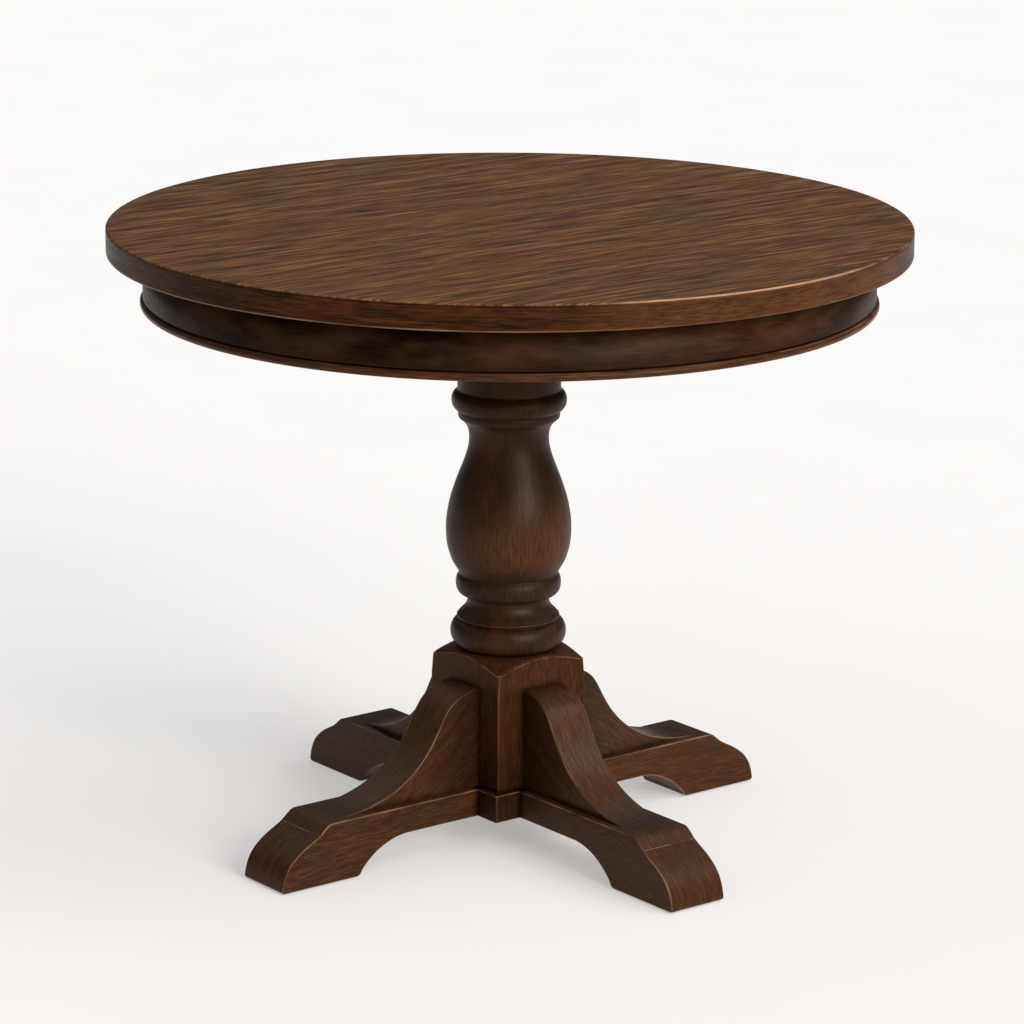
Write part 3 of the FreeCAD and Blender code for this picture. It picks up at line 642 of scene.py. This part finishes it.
# painted highlight: the top's outer arris gets a bright line painted along its front right part, in the top's edge
# colour
ea = top_face.data.attributes["edge"].data
for i, v in enumerate(top_face.data.vertices):
    r = math.hypot(v.co.x, v.co.y) * 1000.0
    ea[i].value = 0.9 * painted_highlight_band(v) * step01(r, TOP_R - 1.9, TOP_R - 1.0) * (1.0 if v.co.z * 1000.0 > H - VENEER - 0.2 else 0.0)
finish_piece(top_face, M_TOP, "top_veneer", "top_face_veneer")

low = 3.0
lip_side = [(joint_r, H - VENEER)] + [q for q in top_arc if q[1] < H - VENEER - 0.05]
side_pts = rounded([(TOP_R - LIP_W, UNDER), (TOP_R, UNDER), (TOP_R, H - A - 2.0)], [0, low, 0], n=7, closed=False)
lip_prof = [(TOP_R - LIP_W, H - VENEER)] + [(TOP_R - LIP_W, UNDER + 1.0)] + side_pts + [(TOP_R, z) for z in (735.0, 742.0, 749.0) if False] + \
    lip_side[::-1] + [(joint_r - 1.0, H - VENEER)]
lip = lathe("rim_lipping", lip_prof, "round", nseg=288, closed=True, seam=SEAM, wear_and_highlight=0.9, cav=0)
ea, ca = lip.data.attributes["edge"].data, lip.data.attributes["cavity"].data
# painted highlight along the front right of the upper arris, painted shade (a dark line) along the rest of it
for i, v in enumerate(lip.data.vertices):
    if v.co.z > (H - A - 0.4) / 1000.0:
        w = painted_highlight_band(v)
        ea[i].value = 0.7 * w if v.co.z > (H - A + 0.8) / 1000.0 else 0.10 * w
        ca[i].value = 0.60 * (1.0 - w)
    # lower arris: a lighter line, weak all round and strongest towards the front left, partly wear and partly painted
    # highlight
    elif v.co.z < (UNDER + 2.2) / 1000.0 and math.hypot(v.co.x, v.co.y) > (TOP_R - 2.2) / 1000.0:
        ea[i].value = 0.62 - 0.45 * painted_highlight_band(v, 5.0, 30.0, 200.0, 220.0)
finish_piece(lip, M_LIP, "lipping", "edge_lipping")

# ------------------------------------------------------------------ apron
ap = rounded([(APRON_IN, APRON_BOT), (APRON_R - 2.2, APRON_BOT), (APRON_R - 2.2, APRON_BOT + 1.2),
              (APRON_R, APRON_BOT + 2.6), (APRON_R, UNDER), (APRON_IN, UNDER)],
             [0.8, 0.3, 0.3, 1.0, 0, 0], n=4, support=0.5)
apron = lathe("apron_ring", ap, "round", nseg=256, closed=True, seam=SEAM, off=(700, 40, 0), wear_and_highlight=0.6, cav=1.0)
finish_piece(apron, M_APRON_SHADED, "apron", "apron_hoop")
zm = (APRON_BOT + BEAD_BOT) / 2
nose = arc3((BEAD_R - 3.2, BEAD_BOT), (BEAD_R, zm), (BEAD_R - 3.2, APRON_BOT), 14)
bead_prof = [(BEAD_IN, APRON_BOT), (BEAD_IN, BEAD_BOT), (BEAD_R - 4.2, BEAD_BOT)] + nose + [(BEAD_R - 4.2, APRON_BOT)]
bead = lathe("apron_bead_moulding", bead_prof, "round", nseg=256, closed=True, seam=SEAM, off=(300, 90, 0), wear_and_highlight=0.5)
ea = bead.data.attributes["edge"].data
# painted highlight: the top edge of the bead nose is lighter all round and gets a bright line painted towards the front
# right
for i, v in enumerate(bead.data.vertices):
    r = math.hypot(v.co.x, v.co.y) * 1000.0
    if r > BEAD_R - 3.3 and v.co.z * 1000.0 > APRON_BOT - 1.4:
        ea[i].value = 0.25 + 0.75 * painted_highlight_band(v, -6.0, 14.0, 66.0, 84.0)
finish_piece(bead, M_BEAD_LIT, "apron", "apron_bead")

# ------------------------------------------------------------------ column
prof = [(0, POMMEL_Z), (40, POMMEL_Z), (55.5, POMMEL_Z)]
prof += spline(BASE_TORUS, 1.5)
prof += spline(CORDON, 0.7)
prof += spline(SCOTIA, 1.3)[1:]
prof += [(51.5, 300.9)]
prof += spline(LOW_RING, 1.4)
prof += [(59.9, 328.4)]
prof += spline(VASE, 2.4)
prof += [(60.8, 522.2)]
prof += spline(UP_FILLET, 1.2)
prof += [(61.4, 531.3)]
prof += spline(UP_TORUS, 1.4)
prof += [(NECK_R, NECK_Z), (NECK_R, NECK_Z + 1.5), (NECK_R, 580), (NECK_R, 630), (NECK_R, COL_TOP - 2.2)]
prof += rounded([(NECK_R, COL_TOP - 2.0), (NECK_R, COL_TOP), (NECK_R - 3, COL_TOP)], [0, 1.5, 0], n=4, closed=False)[1:]
prof += [(40, COL_TOP), (0, COL_TOP)]
clean = [prof[0]]
for q in prof[1:]:
    if math.hypot(q[0] - clean[-1][0], q[1] - clean[-1][1]) > 0.25:
        clean.append(q)
column = lathe("turned_column", clean, "z", nseg=176, off=(0, 13, -21), wear_and_highlight=0.55, cav=1.0)
finish_piece(column, M_TURN, "turned_wood", "column")


# ------------------------------------------------------------------ post block
def face_step(i, nf, half):
    """Position of point i of nf along a face from -half to +half, with fine steps at both ends."""
    near = (0.0, 0.8, 1.7, 3.2)
    if i < 4:
        return near[i] - half
    if i > nf - 4:
        return half - near[nf - i]
    return -half + near[3] + (2 * half - 2 * near[3]) * (i - 3) / (nf - 6)


def square_outline(q, c, rho=1.6, nf=34, nc=9):
    """Counter-clockwise outline of a square of half side q; c is the chamfer leg at each point (array or number)."""
    count = 4 * (nf + nc)
    c = np.maximum(np.asarray(c, float) * np.ones(count), rho)
    pts = np.zeros((count, 2))
    for s in range(4):
        base = s * (nf + nc)
        for i in range(nf):                       # along the face x = q, from y = -(q-c) to +(q-c)
            j = base + i
            pts[j] = (q, face_step(i, nf, q - c[j]))
        for i in range(nc):
            j = base + nf + i
            f = i / nc
            a = np.array([q, q - c[j]])
            b = np.array([q - c[j], q])
            bulge = 4 * f * (1 - f) * rho * 0.29
            pts[j] = a + (b - a) * f + bulge / math.sqrt(2)
        rot = s * math.pi / 2
        blk = pts[base:base + nf + nc].copy()
        pts[base:base + nf + nc, 0] = blk[:, 0] * math.cos(rot) - blk[:, 1] * math.sin(rot)
        pts[base:base + nf + nc, 1] = blk[:, 0] * math.sin(rot) + blk[:, 1] * math.cos(rot)
    return pts


# painted highlight: a bright line along one arris of each corner chamfer and a faint one over half the chamfer
def corner_highlight_mask(nf=34, nc=9):
    m = np.zeros(4 * (nf + nc))
    for s in range(4):
        b = s * (nf + nc)
        m[b + nf + nc // 2:b + nf + nc] = 0.2
        m[b] = 1
    return m


def chamfer_at(z):
    return 5.3 * np.clip((z - 182.0) / (230.0 - 182.0), 0, 1.2)


n_out = 4 * 43
z_edge = np.full(n_out, 230.0)
for _ in range(6):
    o = square_outline(POST_Q, chamfer_at(z_edge))
    z_edge = POMMEL_Z - SLOPE * np.maximum(np.hypot(o[:, 0], o[:, 1]) - 58.0, 0)
arr = 1.3
rings, edges, cavs = [], [], []
cm = corner_highlight_mask()
zs = list(np.linspace(0, 1, 30))
for s in zs:
    z = BAR_TOP + s * (z_edge - arr - BAR_TOP)
    o = square_outline(POST_Q, chamfer_at(z))
    rings.append(np.column_stack([o, z]))
    # painted highlight line along one arris of each corner
    edges.append(cm * 0.8)
    cavs.append(0.0)
o = square_outline(POST_Q, chamfer_at(z_edge))
nrm = o / np.maximum(np.abs(o).max(1)[:, None], 1e-9)
nrm = np.where(np.abs(nrm) > 0.93, np.sign(nrm), 0)
nrm = nrm / np.linalg.norm(nrm, axis=1)[:, None]
for j in range(1, 6):
    f = j / 5 * math.radians(90 - 24.5)
    inset = arr * (1 - math.cos(f))
    p2 = o - nrm * inset
    rings.append(np.column_stack([p2, z_edge - arr + arr * math.sin(f)]))
    edges.append(math.sin(j / 5 * math.pi))
    cavs.append(0.0)
start = rings[-1][:, :2]
z_start = rings[-1][:, 2]
for f in (0.03, 0.08, 0.2, 0.35, 0.5, 0.65, 0.8, 0.92, 1.0):
    ang = np.arctan2(start[:, 1], start[:, 0])
    inner = np.column_stack([54.0 * np.cos(ang), 54.0 * np.sin(ang)])
    p2 = start + (inner - start) * f
    rr = np.hypot(p2[:, 0], p2[:, 1])
    zz = POMMEL_Z - 0.05 - SLOPE * (np.sqrt((rr - 60.0) ** 2 + 9.0) + (rr - 60.0)) / 2
    zz = np.minimum(zz, POMMEL_Z - 0.05)
    ft = min(1.0, f / 0.08)
    zz = z_start * (1 - ft) + zz * ft
    rings.append(np.column_stack([p2, zz]))
    edges.append(0.0)
    # painted shade on the post's top, darker close to the column
    cavs.append(np.clip((64.0 - rr) / 5.0, 0, 1) * 0.7)
post = loft_z("post_block_shaped", rings, edges, (400, 31, 77), cavs)
finish_piece(post, M_POST, "turned_wood", "post_block")

# ------------------------------------------------------------------ plinth
rings, edges = [], []
pl_top = BAR_TOP
for z, inset, e in [(BAR_BOT, 1.3, 0.2), (BAR_BOT + 0.35, 0.5, 0.6), (BAR_BOT + 1.3, 0.0, 0.2), (BAR_BOT + 2.2, 0, 0)] + \
        [(z, 0, 0) for z in (50.0, 60.0, 68.0, 73.0)] + \
        [(pl_top - 1.5 + 1.5 * math.sin(f), 1.5 * (1 - math.cos(f)), math.sin(2 * f)) for f in np.linspace(0, math.pi / 2, 6)] + \
        [(pl_top, 2.6, 0), (pl_top, 8.0, 0)]:
    o = square_outline(PLINTH_Q - inset, 0.0, rho=1.8)
    rings.append(np.column_stack([o, np.full(len(o), z)]))
    # the corner arrises get the painted highlight lines; the bevel edges are lighter, partly wear and partly painted
    # highlight
    edges.append(np.maximum(cm * 0.6 if e == 0 and inset == 0 else e, e))
plinth = loft_z("plinth_block_shaped", rings, edges, (90, 210, 15))
finish_piece(plinth, M_PLINTH_SHADED, "base_wood", "plinth_block")


# ------------------------------------------------------------------ feet
def foot_outline():
    arch = arc3((ARCH_FROM, BAR_BOT), (227.0, 27.4), (HEEL_R - 4.0, SOLE + 6.5), 26)
    heel = arc3((HEEL_R - 1.0, SOLE + 2.0), (HEEL_R + 0.8, SOLE + 0.6), (HEEL_R + 4.0, SOLE), 5)
    heel = spline([arch[-1], (HEEL_R - 2.4, SOLE + 3.4), (HEEL_R - 0.2, SOLE + 1.2), (HEEL_R + 4.0, SOLE)], 1.2)[1:]
    tip = arc3((TOE_R - 4.5, SOLE), (TOE_R - 1.2, SOLE + 1.2), (TOE_R, SOLE + 4.5), 6)
    toe = spline([(TOE_R, SOLE + 4.5), (TOE_R - 1.6, 14.0), (TOE_R - 5.6, 25.5), (TOE_R - 13.0, 36.5),
                  (TOE_R - 22.5, 45.0), (TOE_R - 35.0, 53.0), (TOE_R - 47.0, 59.3), (TOE_R - 54.0, 63.3)], 2.2)
    cove = spline([(TOE_R - 54.0, 63.3), (TOE_R - 60.0, 68.3), (TOE_R - 65.0, 72.4), (TOE_R - 69.0, 74.7),
                   (SHOULDER_R - 2.0, BAR_TOP)], 1.2)
    pts = [(PLINTH_Q - 6.0, BAR_BOT), (PLINTH_Q + 20, BAR_BOT), (130.0, BAR_BOT), (160.0, BAR_BOT)]
    def toward(a, b, d):
        k2 = d / math.hypot(b[0] - a[0], b[1] - a[1])
        return (a[0] + (b[0] - a[0]) * k2, a[1] + (b[1] - a[1]) * k2)

    kink = toe[-1]
    toe = toe[:-1] + [toward(kink, toe[-2], 0.9), kink]
    cove = [cove[0], toward(kink, cove[1], 0.8)] + cove[1:]
    pts += arch + heel + [(280.0, SOLE), (310.0, SOLE), (335.0, SOLE)] + tip + toe[1:] + cove[1:]
    pts += [(SHOULDER_R - 6.0, BAR_TOP)] + [(r, BAR_TOP) for r in (260.0, 230.0, 200.0, 170.0, 140.0, 110.0, 90.0)]
    pts += [(PLINTH_Q - 6.0, BAR_TOP)]
    return pts


def bracket_outline():
    top = spline(BRACKET, 3.0)
    tail = spline([(262.0, 76.4), (268.0, 76.0), (275.0, 75.55), (281.0, 75.0)], 3.0)[1:]
    low = BAR_TOP - 9.0
    pts = [(POST_Q - 6.0, low)] + [(r, low) for r in (90.0, 120.0, 160.0, 200.0, 240.0, 270.0)] + [(281.0, low)]
    pts += [(281.0, low + 4.0)]
    pts += tail[::-1] + top[::-1] + [(POST_Q - 2.5, 199.1), (POST_Q - 6.0, 199.1)] + \
        [(POST_Q - 6.0, z) for z in (160.0, 120.0)]
    return pts


fo = foot_outline()
bo = bracket_outline()
for k in range(4):
    bar = extruded("foot_bar_carved_%d" % (k + 1), fo, BAR_HW, k, bevel=1.8, slant=math.radians(2.0 * (-1) ** k),
                   off=(0, 0, 0))
    ea = bar.data.attributes["edge"].data
    # painted highlight: a bright line painted across the bar at the toe kink, with the edge lightening around it
    # reduced
    for i, v in enumerate(bar.data.vertices):
        far = max(abs(v.co.x), abs(v.co.y)) * 1000.0
        near = abs(far - (TOE_R - 54.0))
        if v.co.z > 0.060 and near < 1.6:
            ea[i].value = 1.0 if near < 0.35 else min(ea[i].value, 0.10)
    finish_piece(bar, M_BASE, "base_wood", "foot_bar_%d" % (k + 1))
    br = extruded("scroll_bracket_carved_%d" % (k + 1), bo, BR_HW, k, bevel=1.6, slant=math.radians(-36.0),
                  off=(333, 71, 19))
    finish_piece(br, M_BRKT, "bracket_wood", "scroll_bracket_%d" % (k + 1))

# ------------------------------------------------------------------ carried-over nodes
CARRY = {
    "top_core_panel": M_CORE, "apron_glue_blocks": M_CLEAT_Y, "glue_block_screws": M_ZINC,
    "top_cleat_lower": M_CLEAT_X, "top_cleat_upper": M_CLEAT_Y, "cleat_screws": M_ZINC,
    "column_dowels": M_DOWEL, "bracket_post_dowels": M_DOWEL, "bracket_foot_dowels": M_DOWEL,
    "tie_rod": M_ZINC, "tie_rod_nuts": M_ZINC, "tie_rod_washers": M_ZINC, "spider_plate": M_BLACK,
    "spider_plate_screws": M_ZINC, "floor_glides": M_GLIDE, "glide_pins": M_ZINC,
}
for name, mat in CARRY.items():
    ob = NODES[name]
    if ob.material_slots:
        for s in ob.material_slots:
            s.material = mat
    else:
        ob.data.materials.append(mat)

# ------------------------------------------------------------------ floor
fl = bpy.data.meshes.new("floor")
fl.from_pydata([(-30, -30, 0), (30, -30, 0), (30, 30, 0), (-30, 30, 0)], [], [(0, 1, 2, 3)])
floor = bpy.data.objects.new("floor", fl)
scene.collection.objects.link(floor)
ft = Tree("pale_floor")
tc = ft.node("ShaderNodeTexCoord")
fn = ft.noise(ft.vmath("MULTIPLY", tc.outputs["Object"], (3.0, 3.0, 3.0)), detail=3.0)
ft.link(ft.mix(ft.remap(fn, 0.3, 0.7), (0.458, 0.456, 0.457), (0.468, 0.466, 0.467)), ft.bsdf.inputs["Base Color"])
ft.bsdf.inputs["Roughness"].default_value = 1.0
ft.bsdf.inputs["Specular IOR Level"].default_value = 0.0
ft.bsdf.inputs["Emission Color"].default_value = (1.0, 0.974, 0.948, 1.0)
ft.bsdf.inputs["Emission Strength"].default_value = 0.386
fl.materials.append(ft.mat)

# ------------------------------------------------------------------ light
AZ = math.radians(52.17)


def world_dir(az_right, elev):
    """Unit vector towards a light: az_right degrees to the right of the camera, seen from the table."""
    a = AZ + math.radians(az_right)
    e = math.radians(elev)
    return Vector((math.sin(a) * math.cos(e), -math.cos(a) * math.cos(e), math.sin(e)))


def sun(name, az, elev, strength, angle, color=(1, 1, 1)):
    d = bpy.data.lights.new(name, "SUN")
    d.energy = strength
    d.angle = math.radians(angle)
    d.color = color
    o = bpy.data.objects.new(name, d)
    scene.collection.objects.link(o)
    o.rotation_mode = "QUATERNION"
    o.rotation_quaternion = world_dir(az, elev).to_track_quat("Z", "Y")
    o.location = world_dir(az, elev) * 6
    return o


def area(name, az, elev, dist, size, power, color=(1, 1, 1), aim=(0, 0, 0.4)):
    d = bpy.data.lights.new(name, "AREA")
    d.shape = "RECTANGLE"
    d.size, d.size_y = size
    d.energy = power
    d.color = color
    o = bpy.data.objects.new(name, d)
    scene.collection.objects.link(o)
    v = world_dir(az, elev)
    o.location = Vector(aim) + v * dist
    o.rotation_mode = "QUATERNION"
    o.rotation_quaternion = v.to_track_quat("Z", "Y")
    return o


sun("key_sun", 38, 22, 2.95, 28, (1.0, 0.97, 0.93))
sun("right_sun", 78, 50, 0.80, 34, (1.0, 0.975, 0.95))
wd = bpy.data.worlds.new("studio")
scene.world = wd
wd.use_nodes = True
wn = wd.node_tree
bg = next(n for n in wn.nodes if n.type == "BACKGROUND")
world_out = next(n for n in wn.nodes if n.type == "OUTPUT_WORLD")
tcw = wn.nodes.new("ShaderNodeTexCoord")
sep = wn.nodes.new("ShaderNodeSeparateXYZ")
wn.links.new(tcw.outputs["Generated"], sep.inputs[0])
rmp = wn.nodes.new("ShaderNodeValToRGB")
wn.links.new(sep.outputs["Z"], rmp.inputs["Fac"])
el = rmp.color_ramp.elements
el[0].position, el[0].color = 0.0, (0.05, 0.05, 0.05, 1)
el[1].position, el[1].color = 1.0, (0.85, 0.85, 0.855, 1)
for pos, c in ((0.32, 0.10), (0.52, 0.75), (0.72, 1.0)):
    e2 = el.new(pos)
    e2.color = (c, c, c * 1.005, 1)
side = wn.nodes.new("ShaderNodeVectorMath")
side.operation = "DOT_PRODUCT"
wn.links.new(tcw.outputs["Generated"], side.inputs[0])
side.inputs[1].default_value = tuple(world_dir(42, 0))
gain = wn.nodes.new("ShaderNodeMath")
gain.operation = "MULTIPLY_ADD"
wn.links.new(side.outputs["Value"], gain.inputs[0])
gain.inputs[1].default_value = 0.50
gain.inputs[2].default_value = 0.98
wn.links.new(rmp.outputs["Color"], bg.inputs["Color"])
wn.links.new(gain.outputs[0], bg.inputs["Strength"])
# seen directly the surroundings are as pale as the floor
seen = wn.nodes.new("ShaderNodeBackground")
seen.inputs["Color"].default_value = (0.98, 0.965, 0.950, 1.0)
seen.inputs["Strength"].default_value = 1.0
path = wn.nodes.new("ShaderNodeLightPath")
either = wn.nodes.new("ShaderNodeMixShader")
wn.links.new(path.outputs["Is Camera Ray"], either.inputs[0])
wn.links.new(bg.outputs[0], either.inputs[1])
wn.links.new(seen.outputs[0], either.inputs[2])
wn.links.new(either.outputs[0], world_out.inputs["Surface"])

# ------------------------------------------------------------------ camera
D, HC, YAW, PITCH, ROLL = 5.12617, 1.73511, math.radians(0.045), math.radians(14.569), math.radians(0.290)
fwd = np.array([math.sin(YAW) * math.cos(PITCH), math.cos(YAW) * math.cos(PITCH), -math.sin(PITCH)])
right = np.array([math.cos(YAW), -math.sin(YAW), 0.0])
up = np.cross(right, fwd)
r2 = math.cos(ROLL) * right + math.sin(ROLL) * up
u2 = -math.sin(ROLL) * right + math.cos(ROLL) * up
rz = np.array([[math.cos(AZ), -math.sin(AZ), 0], [math.sin(AZ), math.cos(AZ), 0], [0, 0, 1]])
cam_data = bpy.data.cameras.new("camera")
cam_data.sensor_width = 36.0
cam_data.lens = 4374.3 / 1024 * 36.0
cam_data.clip_end = 200
cam = bpy.data.objects.new("camera", cam_data)
scene.collection.objects.link(cam)
m = np.eye(4)
m[:3, 0], m[:3, 1], m[:3, 2] = rz @ r2, rz @ u2, rz @ -fwd
m[:3, 3] = rz @ np.array([0, -D, HC])
cam.matrix_world = Matrix([list(map(float, row)) for row in m])
scene.camera = cam
